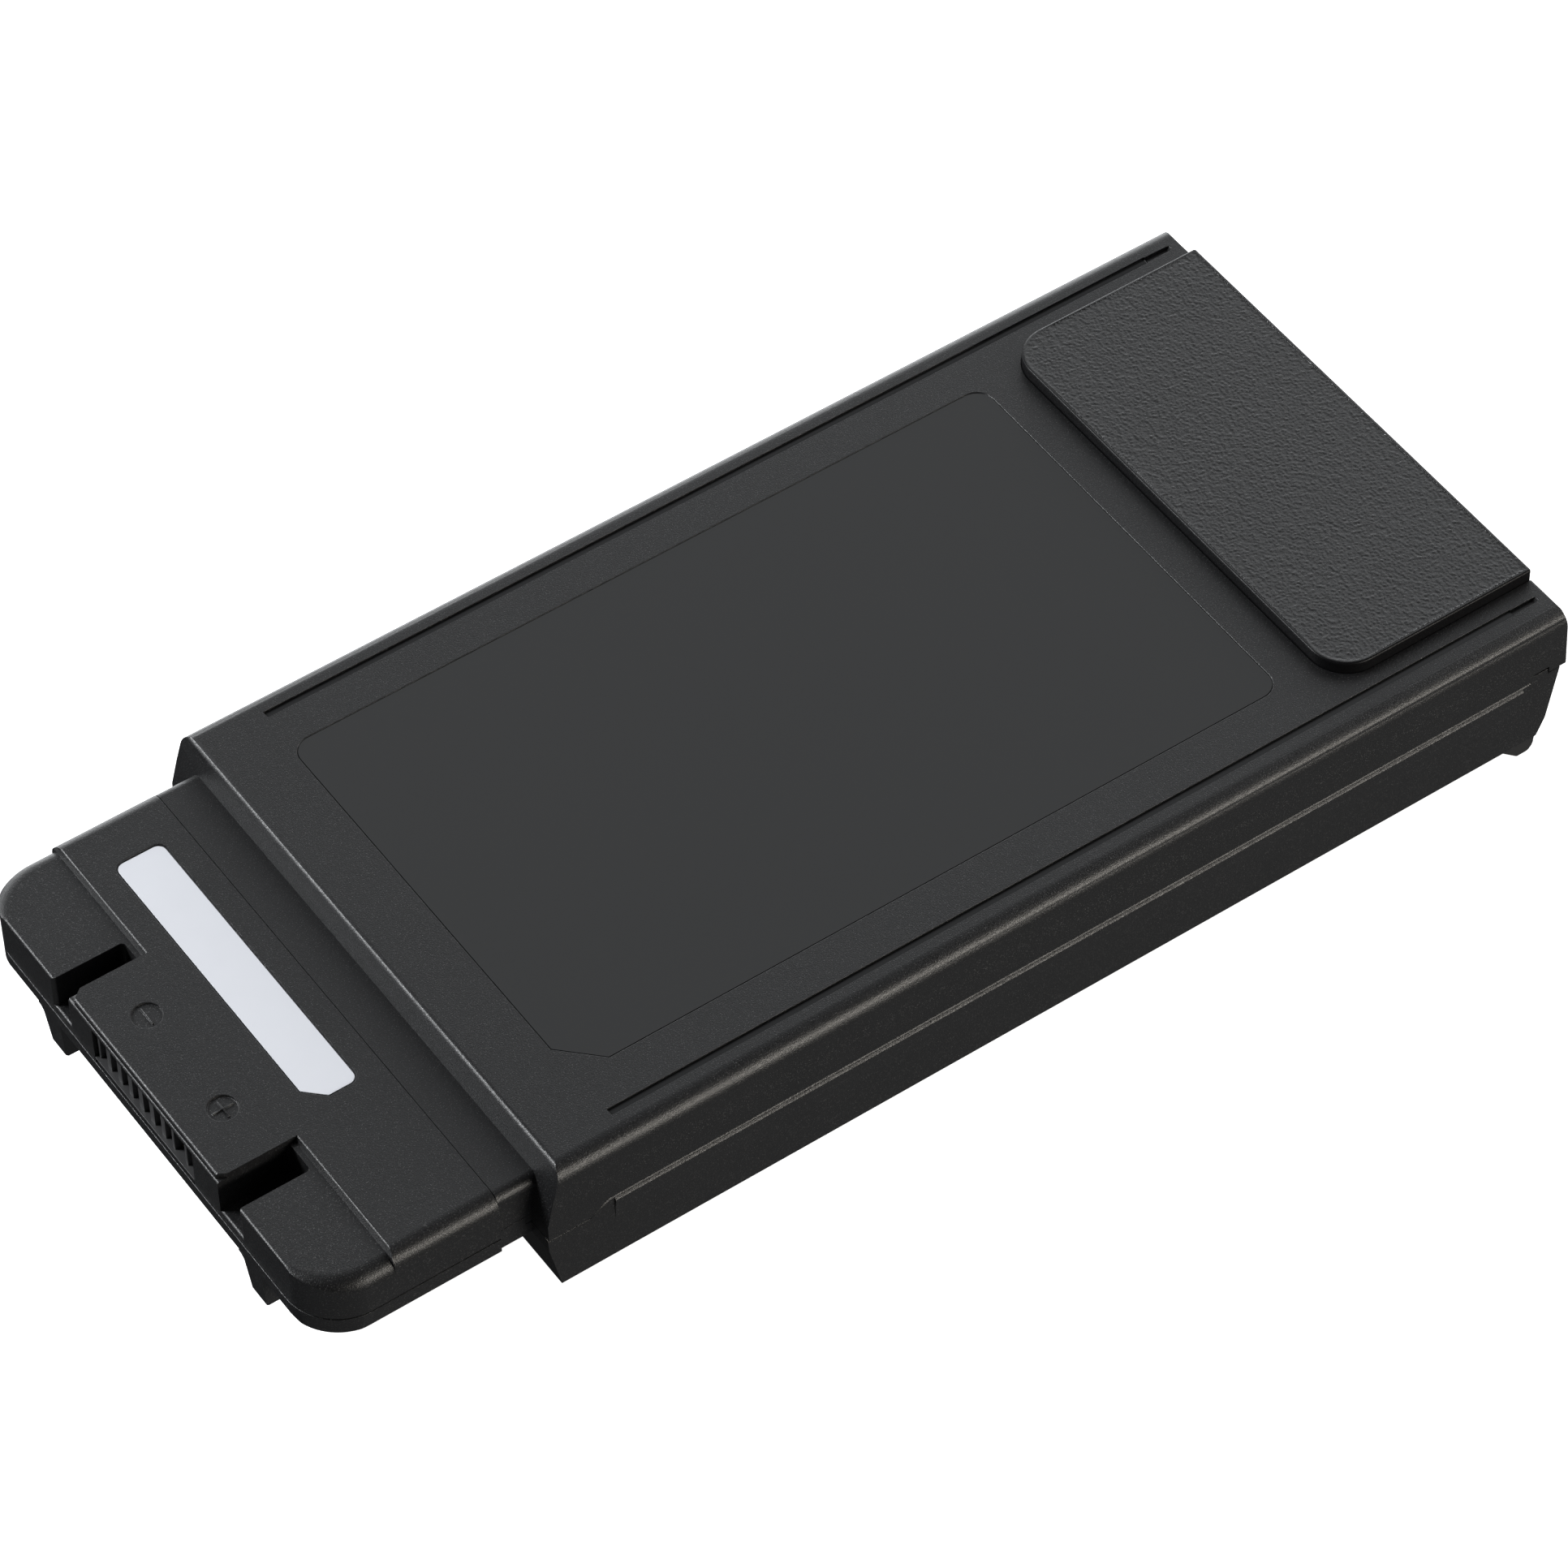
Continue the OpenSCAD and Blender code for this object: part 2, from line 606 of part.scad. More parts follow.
module shunt() color([0.62, 0.58, 0.55]) translate([xf - 13.2, -22.5, board_top])
    difference() {
        cube([3.2, 6.4, 0.9]);
        translate([-1, 1.3, -1]) cube([6, 3.8, 1.4]);
    }

module passives() color([0.70, 0.58, 0.42]) {
    for (i = [0 : 5]) translate([xf - 16.5, -6 + i * 2.6, board_top]) cube([1.6, 0.8, 0.7]);
    for (i = [0 : 4]) translate([xf - 4.5 + i * 1.7, -3, board_top]) cube([0.8, 1.6, 0.7]);
    for (i = [0 : 3]) translate([xf + 3.5, 4 + i * 3, board_top]) cube([2.0, 1.25, 1.0]);
}

// ---- cells ---------------------------------------------------------------

module pouch(col, layer) {
    z = layer == 0 ? layer1 : layer2;
    x = cell_x0 + col * cell_pitch;
    color([0.77, 0.78, 0.80]) {
        intersection() {
            translate([x + cell_w / 2, 0, 0]) along_y(cell_y0, cell_y1)
                section(cell_w / 2, z, z + cell_t, 1.2, 1.2);
            translate([0, (cell_y0 + cell_y1) / 2, 0]) along_x(x, x + cell_w)
                section(cell_l / 2, z, z + cell_t, 1.0, 1.0);
        }
        // sealed terrace the tabs come out of
        box(x + 1, x + cell_w - 1, cell_y1 - 2, cell_y1 + 2.6,
            z + cell_t / 2 - 0.15, z + cell_t / 2 + 0.15);
        // folded side seals
        for (xs = [x - 0.35, x + cell_w - e])
            box(xs, xs + 0.36, cell_y0 + 2, cell_y1 - 1, z + 1.4, z + cell_t / 2 + 2.2);
    }
}

module cell_1() pouch(0, 0);
module cell_2() pouch(1, 0);
module cell_3() pouch(2, 0);
module cell_4() pouch(0, 1);
module cell_5() pouch(1, 1);
module cell_6() pouch(2, 1);

// one tab, led from the terrace onto the collecting strip
module tab(x, layer) {
    zm = layer == 0 ? layer1 + cell_t / 2 : layer2 + cell_t / 2;
    lo = layer == 0 ? zm + 0.15 : strip_z + strip_t;
    hi = layer == 0 ? strip_z : zm - 0.15;
    zp = layer == 0 ? strip_z - tab_t : strip_z + strip_t;
    zq = layer == 0 ? zm + 0.15 : zm - 0.15 - tab_t;
    box(x, x + 6, cell_y1 + 0.6, cell_y1 + 2.8, zq, zq + tab_t);
    box(x, x + 6, cell_y1 + 2.6, cell_y1 + 2.8, lo, hi);
    box(x, x + 6, cell_y1 + 2.6, strip_y + 3.2, zp, zp + tab_t);
}

module tabs_plus() color([0.80, 0.81, 0.83])
    for (c = [0 : 2]) for (l = [0, 1]) tab(cell_x0 + c * cell_pitch + 9, l);

module tabs_minus() color([0.72, 0.70, 0.64])
    for (c = [0 : 2]) for (l = [0, 1]) tab(cell_x0 + c * cell_pitch + cell_w - 15, l);

module collecting_strip() color([0.06, 0.28, 0.15])
    box(cell_x0 + 1, cell_x0 + 2 * cell_pitch + cell_w - 1, strip_y, strip_y + strip_w,
        strip_z, strip_z + strip_t);

// two flat leads from the collecting strip to the board
module power_leads() color(steel) for (k = [0, 1]) {
    y = strip_y - 3.6 - 3.4 * k;
    box(xf + 5.4, cell_x0 - 0.8, y, y + 2.6, board_top, board_top + 0.25);
    box(cell_x0 - 1.05, cell_x0 - 0.8, y, y + 2.6, board_top, strip_z + strip_t + 0.6);
    box(cell_x0 - 1.05, cell_x0 - 0.8, y, strip_y + 3.4 - k * 1.2,
        strip_z + strip_t + 0.2 + 0.6 * k, strip_z + strip_t + 0.6 + 0.6 * k);
    box(cell_x0 - 1.05, cell_x0 + 4 + 3 * k, strip_y + 2.2 - k * 1.2, strip_y + 3.4 - k * 1.2,
        strip_z + strip_t + 0.2 + 0.6 * k, strip_z + strip_t + 0.6 + 0.6 * k);
}

module cell_tray() color([0.20, 0.21, 0.22]) difference() {
    box(xf + 9.2, cell_x0 + 2 * cell_pitch + cell_w + 1.2, -40.7, 40.7, layer1, board_z - 0.2);
    box(xf + 10.2, cell_x0 + 2 * cell_pitch + cell_w + 0.5, -39.9, 39.9, layer1 - 1, board_z + 1);
}

module foam_middle() color([0.30, 0.30, 0.32]) for (c = [0 : 2])
    box(cell_x0 + c * cell_pitch + 2, cell_x0 + c * cell_pitch + cell_w - 2,
        cell_y0 + 3, cell_y1 - 3, layer1 + cell_t, layer2);

module foam_top() color([0.30, 0.30, 0.32]) for (c = [0 : 2])
    box(cell_x0 + c * cell_pitch + 4, cell_x0 + c * cell_pitch + cell_w - 4,
        cell_y0 + 6, cell_y1 - 6, layer2 + cell_t, cav_z1);

module bottom_sheet() color([0.82, 0.80, 0.70])
    box(cell_x0 - 1, cell_x0 + 2 * cell_pitch + cell_w, -39, 39, cav_z0, layer1);

module board_sheet() color([0.86, 0.72, 0.25])
    box(xf + 1.5, xf + 8.3, -35, 14, board_z - 0.3, board_z);

// soft strip along the part line, on the inside
module seam_seal() color([0.05, 0.05, 0.05]) difference() {
    box(xf + 8, xr - 2.6, -hw + wall, hw - wall, zs - 0.9, zs + 0.6);
    box(xf + 7, xr - 3.1, -hw + wall + 0.3, hw - wall - 0.3, zs - 2, zs + 2);
}

module thermistor() color([0.12, 0.10, 0.09]) {
    translate([cell_x0 + 20, -8, layer2 + cell_t]) rotate([0, 90, 0]) translate([-0.3, 0, 0])
        cylinder(h = 4, r = 0.28, $fn = 24);
}

// ribbon from the collecting strip to the gauge circuit
module sense_ribbon() color([0.80, 0.55, 0.20]) {
    box(xf + 6.0, cell_x0 - 1.6, 17, 22, board_top, board_top + 0.15);
    box(cell_x0 - 1.75, cell_x0 - 1.6, 17, 30.5, board_top, board_top + 1.2);
}

// ---- assembly ------------------------------------------------------------

upper_cover();
lower_cover();
front_feet();
rear_feet();
grip_pad();
main_label();
serial_label();
rating_label();
head_upper();
head_lower();
contact_insulator();
contact_springs();
main_board();
board_screws();
gauge_ics();
ic_leads();
power_switches();
thermal_fuse();
shunt();
passives();
cell_1();
cell_2();
cell_3();
cell_4();
cell_5();
cell_6();
tabs_plus();
tabs_minus();
collecting_strip();
power_leads();
cell_tray();
foam_middle();
foam_top();
bottom_sheet();
board_sheet();
seam_seal();
thermistor();
sense_ribbon();
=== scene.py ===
import json
import math
import bmesh
import bpy
from mathutils import Matrix, Vector, noise
from mathutils.bvhtree import BVHTree
from mathutils.geometry import delaunay_2d_cdt, intersect_point_line


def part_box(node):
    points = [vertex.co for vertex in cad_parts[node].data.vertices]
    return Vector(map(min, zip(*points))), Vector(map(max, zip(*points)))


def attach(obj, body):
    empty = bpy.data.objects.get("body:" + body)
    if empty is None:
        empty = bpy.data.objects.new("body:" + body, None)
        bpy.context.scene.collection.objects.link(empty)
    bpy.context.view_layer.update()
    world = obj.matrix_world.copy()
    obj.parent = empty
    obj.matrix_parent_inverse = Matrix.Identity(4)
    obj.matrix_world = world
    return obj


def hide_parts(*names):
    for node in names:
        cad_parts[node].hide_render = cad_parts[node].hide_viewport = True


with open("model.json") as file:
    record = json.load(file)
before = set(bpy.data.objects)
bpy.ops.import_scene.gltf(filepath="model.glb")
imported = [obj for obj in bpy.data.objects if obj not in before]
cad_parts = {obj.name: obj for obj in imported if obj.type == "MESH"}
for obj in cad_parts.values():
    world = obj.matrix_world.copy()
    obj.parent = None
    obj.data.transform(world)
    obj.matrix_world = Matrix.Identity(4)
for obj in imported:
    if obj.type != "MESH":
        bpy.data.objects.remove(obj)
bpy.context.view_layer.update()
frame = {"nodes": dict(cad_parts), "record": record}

scene = bpy.context.scene
scene.view_settings.view_transform = "Standard"
MM = 0.001

# Lines of the frame that the camera and the edge tests are placed by, in metres.
LABEL_SETBACK = 9.3 * MM                             # front edge of the main top face to the label
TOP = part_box("upper_cover")[1].z                     # main top face
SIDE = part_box("upper_cover")[1].y                    # long side of the upper cover
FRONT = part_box("main_label")[0].x - LABEL_SETBACK    # front edge of the main top face

# ---- camera ------------------------------------------------------------------

VIEW_AZ, VIEW_EL, VIEW_ROLL = (math.radians(a) for a in (-34.098, 49.550, -1.045))
FOCAL_PX, FRAME_PX, SENSOR = 8396.49, 1932, 36
EYE = Vector((FRONT - 249.247 * MM, -458.499 * MM, TOP + 637.729 * MM))

camera = bpy.data.objects.new("Camera", bpy.data.cameras.new("Camera"))
camera.data.sensor_width = SENSOR
camera.data.lens = FOCAL_PX / FRAME_PX * SENSOR
camera.data.clip_start, camera.data.clip_end = 0.01, 20
camera.matrix_world = (Matrix.Translation(EYE) @ Matrix.Rotation(VIEW_AZ, 4, "Z")
                       @ Matrix.Rotation(math.pi / 2 - VIEW_EL, 4, "X")
                       @ Matrix.Rotation(VIEW_ROLL, 4, "Z"))
scene.collection.objects.link(camera)
scene.camera = camera


# ---- materials ---------------------------------------------------------------

MIX_FACTOR, MIX_FIRST, MIX_SECOND, MIX_RESULT = 0, 6, 7, 2    # sockets of a colour mix, by number
NOISE_SPAN = (0.3, 0.7)           # the part of a noise's range that most of its values fill
TONE_SIZE = 9 * MM                # patches of lighter and darker plastic
TONE_DARK, TONE_LIGHT = 0.85, 1.2
GRAIN_SHEEN = 0.08                # how far the grain moves a plastic's roughness, each way
SPECK_SIZE = 0.8                  # light specks, as a share of the grain's size
SPECK_SPAN = (0.68, 0.80)
MIN_ROUGH = 0.03


class Nodes:
    """Short way to add and join nodes of one material."""

    def __init__(self, name, color, rough, specular=0.5, metallic=0.0):
        self.mat = bpy.data.materials.new(name)
        self.mat.use_nodes = True
        self.tree = self.mat.node_tree
        self.shader = self.tree.nodes["Principled BSDF"]
        self.shader.inputs["Base Color"].default_value = (*color, 1)
        self.shader.inputs["Roughness"].default_value = rough
        self.shader.inputs["Specular IOR Level"].default_value = specular
        self.shader.inputs["Metallic"].default_value = metallic
        self.place = self.add("ShaderNodeTexCoord").outputs["Object"]

    def add(self, kind, **inputs):
        node = self.tree.nodes.new(kind)
        for key, value in inputs.items():
            socket = node.inputs[key]
            if isinstance(value, bpy.types.NodeSocket):
                self.tree.links.new(value, socket)
            else:
                socket.default_value = value
        return node

    def join(self, out, socket):
        self.tree.links.new(out, self.shader.inputs[socket])

    def noise(self, size, detail=2.0, rough=0.5):
        """Noise with features about size metres across."""
        return self.add("ShaderNodeTexNoise", Vector=self.place, Scale=1 / size, Detail=detail,
                        Roughness=rough).outputs["Fac"]

    def ramp(self, fac, at, grey):
        """Grey that goes from grey[0] to grey[1] as fac goes from at[0] to at[1]."""
        node = self.add("ShaderNodeValToRGB", Fac=fac)
        for element, position, value in zip(node.color_ramp.elements, at, grey):
            element.position = position
            element.color = (value, value, value, 1)
        return node.outputs["Color"]

    def mix(self, fac, first, second):
        """Mix of two colours, each a socket or three numbers."""
        node = self.tree.nodes.new("ShaderNodeMix")
        node.data_type = "RGBA"
        self.tree.links.new(fac, node.inputs[MIX_FACTOR])
        for value, index in ((first, MIX_FIRST), (second, MIX_SECOND)):
            if isinstance(value, bpy.types.NodeSocket):
                self.tree.links.new(value, node.inputs[index])
            else:
                node.inputs[index].default_value = (*value, 1)
        return node.outputs[MIX_RESULT]

    def bump(self, height, depth):
        """Relief, depth in metres."""
        node = self.add("ShaderNodeBump", Height=height, Distance=depth)
        self.join(node.outputs["Normal"], "Normal")


def plastic(name, color, rough, specular, grain, depth, speck=0.0):
    """Moulded plastic: fine grain (size and depth in mm), light specks, uneven sheen."""
    n = Nodes(name, color, rough, specular)
    fine = n.noise(grain * MM, 2.0, 0.6)
    tone = n.mix(n.noise(TONE_SIZE, 3.0), tuple(c * TONE_DARK for c in color),
                 tuple(c * TONE_LIGHT for c in color))
    if speck:
        dots = n.ramp(n.noise(SPECK_SIZE * grain * MM, 0.0), SPECK_SPAN, (0.0, 1.0))
        tone = n.mix(dots, tone, tuple(c + speck for c in color))
    n.join(tone, "Base Color")
    n.join(n.ramp(fine, NOISE_SPAN, (rough - GRAIN_SHEEN, rough + GRAIN_SHEEN)), "Roughness")
    n.bump(fine, depth * MM)
    return n.mat


def simple(name, color, rough, specular=0.5, metallic=0.0, size=1.0, spread=0.15, depth=0.005,
           sheen=0.06):
    """Plain finish with a little variation of tone and sheen, and relief (size and depth in mm)."""
    n = Nodes(name, color, rough, specular, metallic)
    cloud = n.noise(size * MM, 3.0)
    n.join(n.mix(cloud, tuple(c * (1 - spread) for c in color),
                 tuple(min(1, c * (1 + spread)) for c in color)), "Base Color")
    n.join(n.ramp(cloud, NOISE_SPAN, (max(rough - sheen, MIN_ROUGH), rough + sheen)), "Roughness")
    n.bump(cloud, depth * MM)
    return n.mat


CASE = plastic("case_black", (0.0085, 0.0086, 0.0092), 0.38, 0.5, grain=0.17, depth=0.045,
               speck=0.06)
SMOOTH = simple("case_smooth", (0.008, 0.0083, 0.0089), 0.36, 0.36, size=3, depth=0.001,
                sheen=0.02)
GRIP = plastic("pad_grain", (0.012, 0.0122, 0.0127), 0.27, 0.7, grain=0.2, depth=0.03, speck=0.03)
# Painted shade: the pad's walls and rounded top edge get a darker, less glossy copy of the pad
# plastic, so they look shaded and show no highlight; their smoother grain is the real finish.
SHADED_PAD_WALL = plastic("shaded_pad_side", (0.005, 0.005, 0.0055), 0.35, 0.12, grain=0.3, depth=0.004)
LABEL = simple("label_dark", (0.0158, 0.0164, 0.0168), 0.5, 0.42, size=0.25, spread=0.12,
               depth=0.002, sheen=0.02)
BLANK = simple("label_white", (0.70, 0.715, 0.76), 0.55, 0.4, size=4, spread=0.02, depth=0.001,
               sheen=0.02)
GREY = simple("label_grey", (0.50, 0.51, 0.53), 0.5, 0.4, size=4, spread=0.03, depth=0.001)
RIB = plastic("insulator", (0.050, 0.050, 0.051), 0.40, 0.6, grain=0.12, depth=0.006)
RUBBER = plastic("foot_rubber", (0.018, 0.018, 0.018), 0.75, 0.3, grain=0.3, depth=0.03)
HEEL = plastic("heel_black", (0.020, 0.020, 0.021), 0.5, 0.4, grain=0.2, depth=0.01)
INNER = {
    "contact_metal": simple("contact_metal", (0.83, 0.65, 0.30), 0.25, metallic=1, size=0.8),
    "board_green": simple("board_green", (0.03, 0.20, 0.09), 0.35, size=2),
    "screw_steel": simple("screw_steel", (0.62, 0.63, 0.65), 0.3, metallic=1, size=0.4),
    "chip_black": simple("chip_black", (0.03, 0.03, 0.035), 0.55, size=0.4, depth=0.01),
    "tinned_lead": simple("tinned_lead", (0.72, 0.72, 0.73), 0.3, metallic=1, size=0.5),
    "ceramic_body": simple("ceramic_body", (0.55, 0.47, 0.36), 0.45, size=0.5),
    "shunt_metal": simple("shunt_metal", (0.50, 0.47, 0.44), 0.35, metallic=1, size=0.6),
    "pouch_foil": simple("pouch_foil", (0.66, 0.67, 0.69), 0.35, metallic=0.9, size=7, depth=0.15),
    "tab_aluminium": simple("tab_aluminium", (0.75, 0.76, 0.78), 0.3, metallic=1, size=0.6),
    "tab_nickel": simple("tab_nickel", (0.60, 0.58, 0.54), 0.32, metallic=1, size=0.6),
    "tray_plastic": simple("tray_plastic", (0.12, 0.12, 0.13), 0.5, size=1, depth=0.01),
    "foam": simple("foam", (0.10, 0.10, 0.11), 0.9, 0.2, size=0.4, spread=0.3, depth=0.1),
    "fish_paper": simple("fish_paper", (0.62, 0.60, 0.50), 0.75, 0.3, size=0.5, depth=0.02),
    "amber_film": simple("amber_film", (0.72, 0.42, 0.10), 0.2, size=3),
    "seal_rubber": simple("seal_rubber", (0.02, 0.02, 0.02), 0.8, 0.3, size=0.5, depth=0.02),
}
finish_of = {row["node"]: row["material_slot"] for row in frame["record"]["subparts"]}
for node, obj in frame["nodes"].items():
    obj.data.materials.clear()
    obj.data.materials.append(INNER.get(finish_of[node], CASE))


# ---- shells ------------------------------------------------------------------

WELD = 3e-6                        # vertices nearer than this are joined, in metres
FLAT = math.radians(0.8)           # faces that meet at less than this are joined
SHARP = math.radians(30)           # edges that turn by more than this are rounded
SHORT = 2e-5                       # edges shorter than this stay as they are, in metres
LIFT = 2e-5                        # a ray starts this far off the surface, in metres
NO_LENGTH = 1e-6                   # the normals of an edge's two faces cancel out below this
SHADE_ANGLE = math.radians(28)     # edges that turn by less than this are shaded smooth
RUN_BEND = 40                      # a run that fails as a whole is split at sharper turns (degrees)
FOLD_LIMIT = 2e-6                  # folded area that a rounding may add, as a share of the whole
UP = 0.75                          # an edge that rises by this share of its length is upright


def add_piece(name, bm, node, materials):
    """Makes an object of bm that stands for a CAD node, with smooth rounds and flat faces."""
    mesh = bpy.data.meshes.new(name)
    bm.to_mesh(mesh)
    bm.free()
    for material in materials:
        mesh.materials.append(material)
    mesh.polygons.foreach_set("use_smooth", [True] * len(mesh.polygons))
    mesh.set_sharp_from_angle(angle=SHADE_ANGLE)
    piece = bpy.data.objects.new(name, mesh)
    scene.collection.objects.link(piece)
    normals = piece.modifiers.new("face_weighted_normals", "WEIGHTED_NORMAL")
    normals.keep_sharp = True
    normals.weight = 100
    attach(piece, "root")
    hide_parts(node)


def middle(edge):
    return (edge.verts[0].co + edge.verts[1].co) / 2


def outer(edge, tree):
    """True if the edge lies on the outside of its shell."""
    way = sum((f.normal for f in edge.link_faces), Vector())
    if way.length < NO_LENGTH:
        return False
    way.normalize()
    return tree.ray_cast(middle(edge) + way * LIFT, way)[0] is None


def chains(edges, bend=None):
    """Splits edges into joined runs; with bend (degrees), a run ends at a sharper turn than that."""
    left, runs = set(edges), []
    for first in edges:
        if first not in left:
            continue
        left.discard(first)
        run, todo = [first], [first]
        while todo:
            edge = todo.pop()
            for vert in edge.verts:
                way = (vert.co - edge.other_vert(vert).co).normalized()
                for other in vert.link_edges:
                    if other not in left:
                        continue
                    onward = (other.other_vert(vert).co - vert.co).normalized()
                    if bend is None or way.dot(onward) > math.cos(math.radians(bend)):
                        left.discard(other)
                        run.append(other)
                        todo.append(other)
        runs.append(run)
    return runs


def folds(bm):
    """How much more area the triangles cover than the faces: above zero where a face folds over."""
    whole = sum(face.calc_area() for face in bm.faces)
    parts = 0
    for loops in bm.calc_loop_triangles():
        a, b, c = (loop.vert.co for loop in loops)
        parts += (b - a).cross(c - a).length / 2
    return parts / whole - 1


def round_runs(bm, runs, width, steps):
    """Rounds each run of edges on its own, and keeps only results that stay sound and on the shell.

    Gives back the mesh and the edges that stayed sharp.
    """
    mark = bm.edges.layers.int["run"]
    for number, run in enumerate(runs, 1):
        for edge in run:
            edge[mark] = number
    skin = BVHTree.FromBMesh(bm)
    limit = folds(bm) + FOLD_LIMIT
    failed = []
    for number in range(1, len(runs) + 1):
        trial = bm.copy()
        mark = trial.edges.layers.int["run"]
        edges = [e for e in trial.edges if e[mark] == number]
        made = bmesh.ops.bevel(trial, geom=edges, offset=width, segments=steps, profile=0.5,
                               affect="EDGES", offset_type="OFFSET", clamp_overlap=True)
        for edge in made["edges"]:
            edge[mark] = 0
        trial.normal_update()
        strays = any(skin.find_nearest(v.co)[3] > width for v in made["verts"])
        if strays or folds(trial) > limit:
            failed.append(number)
            trial.free()
        else:
            bm.free()
            bm = trial
    mark = bm.edges.layers.int["run"]
    rest = [e for e in bm.edges if e[mark] in failed]
    for edge in bm.edges:
        edge[mark] = 0
    return bm, rest


def shell(node, name, passes, materials=(CASE,), pick=None, relief=None):
    """Copy of a CAD shell with its outer edges rounded.

    passes: (width in mm, steps, test of an edge); pick: material number of a face; relief: a
    function that changes the finished mesh.
    """
    bm = bmesh.new()
    bm.from_mesh(frame["nodes"][node].data)
    bm.edges.layers.int.new("run")
    bmesh.ops.remove_doubles(bm, verts=bm.verts, dist=WELD)
    bmesh.ops.dissolve_limit(bm, angle_limit=FLAT, verts=bm.verts, edges=bm.edges)
    for width, steps, test in passes:
        bm.normal_update()
        tree = BVHTree.FromBMesh(bm)
        edges = [e for e in bm.edges if len(e.link_faces) == 2 and e.calc_face_angle() > SHARP
                 and e.calc_length() > SHORT and test(*middle(e), e) and outer(e, tree)]
        for bend in (None, RUN_BEND):
            if edges:
                bm, edges = round_runs(bm, chains(edges, bend), width * MM, steps)
    bm.normal_update()
    if pick:
        for face in bm.faces:
            face.material_index = pick(face.calc_center_median(), face.normal)
    if relief:
        relief(bm)
    add_piece(name, bm, node, materials)


def upright(edge):
    way = edge.verts[1].co - edge.verts[0].co
    return abs(way.z) > UP * way.length


def anywhere(x, y, z, edge):
    return True


CORNER_LENGTH, CORNER_REACH = 2 * MM, 1.5 * MM     # least length, and distance from the long side


def body_corner(x, y, z, edge):
    """Upright corners of the main body, away from the seam."""
    return upright(edge) and edge.calc_length() > CORNER_LENGTH and abs(y) > SIDE - CORNER_REACH


# The long grooves: distances from the long side to their rims, and depths of their floors.
RIM_NEAR, RIM_FAR, RIM_DEPTH = 3.0 * MM, 6.5 * MM, 0.05 * MM
FLOOR_FAR, FLOOR_HIGH, FLOOR_LOW = 5.5 * MM, 0.2 * MM, 0.6 * MM


def groove_rim(x, y, z, edge):
    """Upper edges of the long grooves."""
    return z > TOP - RIM_DEPTH and SIDE - RIM_FAR < abs(y) < SIDE - RIM_NEAR and not upright(edge)


def groove_floor(spot, normal):
    """Smooth finish on the floors of the long grooves."""
    deep = TOP - FLOOR_LOW < spot.z < TOP - FLOOR_HIGH
    return 1 if deep and normal.z > 0.9 and abs(spot.y) > SIDE - FLOOR_FAR else 0


def shaded_pad_side(spot, normal):
    """Faces for the darker pad plastic: painted shade on the pad's walls and rounded top edge, which
    also have a smooth finish.
    """
    return 1 if normal.z < 0.95 else 0


# ---- the pad's grain ---------------------------------------------------------

GRAIN_SEED = 1                     # else the pebbles' places depend on the clock
GRAIN_STEP = 0.18 * MM             # distance between grid points
GRAIN_SIZE = 0.40 * MM             # a pebble
GRAIN_DEPTH = 0.11 * MM
GRAIN_FADE = 0.4 * MM              # the grain fades out this far from the rim
GRAIN_MARGIN = 0.6 * GRAIN_STEP    # no grid point is nearer to the rim than this
PAD_CORNER = 8 * MM                # size of the squares that hold the pad's rounded corners
WARP_SIZE, WARP = 2.2, 0.5         # how the pebbles bend: size in pebbles, strength
UNEVEN_SIZE = 0.8                  # unevenness of the crowns: size in pebbles
CREASE = 0.42                      # how wide a crease is, in pebbles
CREASE_SHARE, UNEVEN_SHARE = 0.68, 0.32
CDT_INSIDE, CDT_NEAR = 1, 1e-8     # triangulation: only inside the rim; points this near are one


def pebble(spot):
    """Depth below the crowns of a leather grain: 0 on a pebble, 1 in a crease."""
    warp = noise.noise_vector(spot / (WARP_SIZE * GRAIN_SIZE)) * WARP
    near, next_near = noise.voronoi(spot / GRAIN_SIZE + warp)[0][:2]
    rise = min(1, max(0, (next_near - near) / CREASE))
    crown = rise * rise * (3 - 2 * rise)
    uneven = noise.noise(spot / (UNEVEN_SIZE * GRAIN_SIZE)) * 0.5 + 0.5
    return CREASE_SHARE * (1 - crown) + UNEVEN_SHARE * uneven


